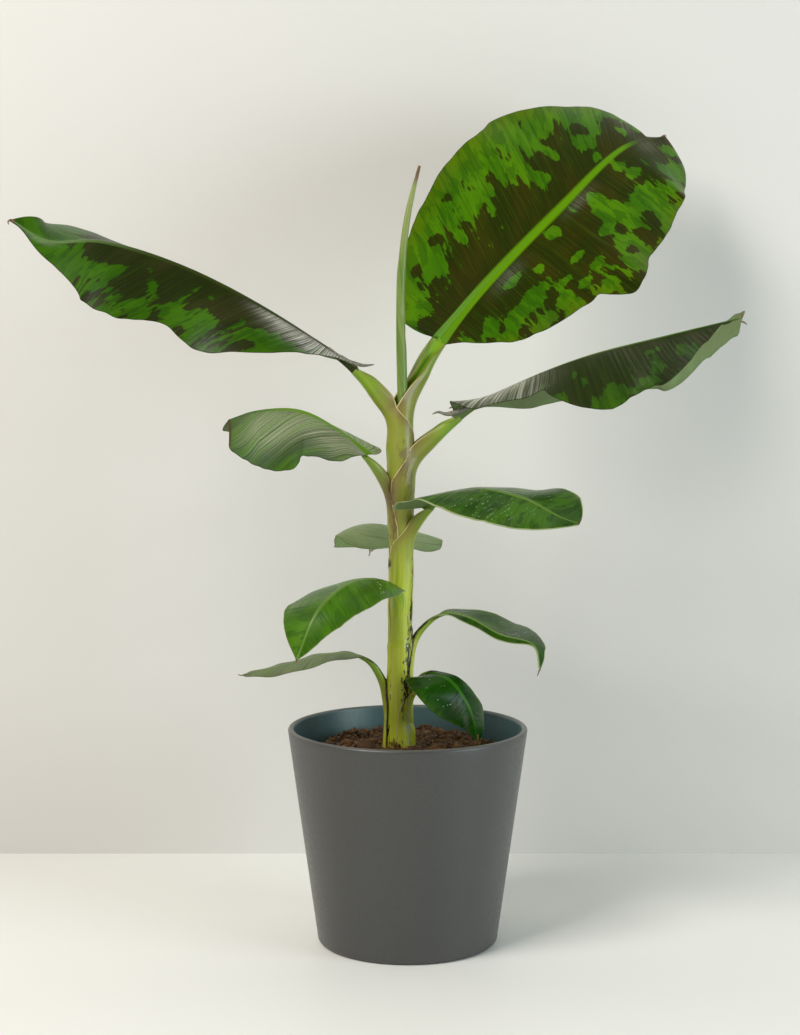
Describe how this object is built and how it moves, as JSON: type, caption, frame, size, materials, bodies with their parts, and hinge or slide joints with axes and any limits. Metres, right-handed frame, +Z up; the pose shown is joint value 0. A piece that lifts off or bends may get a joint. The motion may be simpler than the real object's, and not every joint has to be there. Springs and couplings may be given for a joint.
{
  "type": "potted banana plant",
  "caption": "Young banana plant in a round matte anthracite pot: one false trunk, long blotched upper leaves, short plain green lower leaves and a rolled new leaf.",
  "frame": {"origin": "centre of the pot's flat underside", "axes": "+X to the right and +Y away from the viewer as the picture shows the plant, +Z up"},
  "size_m": [0.744, 0.3893, 0.889],
  "materials": {
    "pot_shell": "matte anthracite with a fine speckle",
    "soil": "coarse red-brown bark and fibre potting mix",
    "stem": "smooth yellow-green leaf sheath and stalk",
    "blade": "waxy green leaf, satin above and paler below"
  },
  "bodies": {
    "root": {"pot": "pot_shell", "root_ball": "soil", "trunk": "stem", "rolled_leaf": "blade", "stalk_1": "stem", "leaf_1": "blade", "stalk_2": "stem", "leaf_2": "blade", "stalk_3": "stem", "leaf_3": "blade", "stalk_4": "stem", "leaf_4": "blade", "stalk_5": "stem", "leaf_5": "blade", "stalk_6": "stem", "leaf_6": "blade", "stalk_7": "stem", "leaf_7": "blade", "stalk_8": "stem", "leaf_8": "blade", "stalk_9": "stem", "leaf_9": "blade", "stalk_10": "stem", "leaf_10": "blade"}
  },
  "joints": []
}
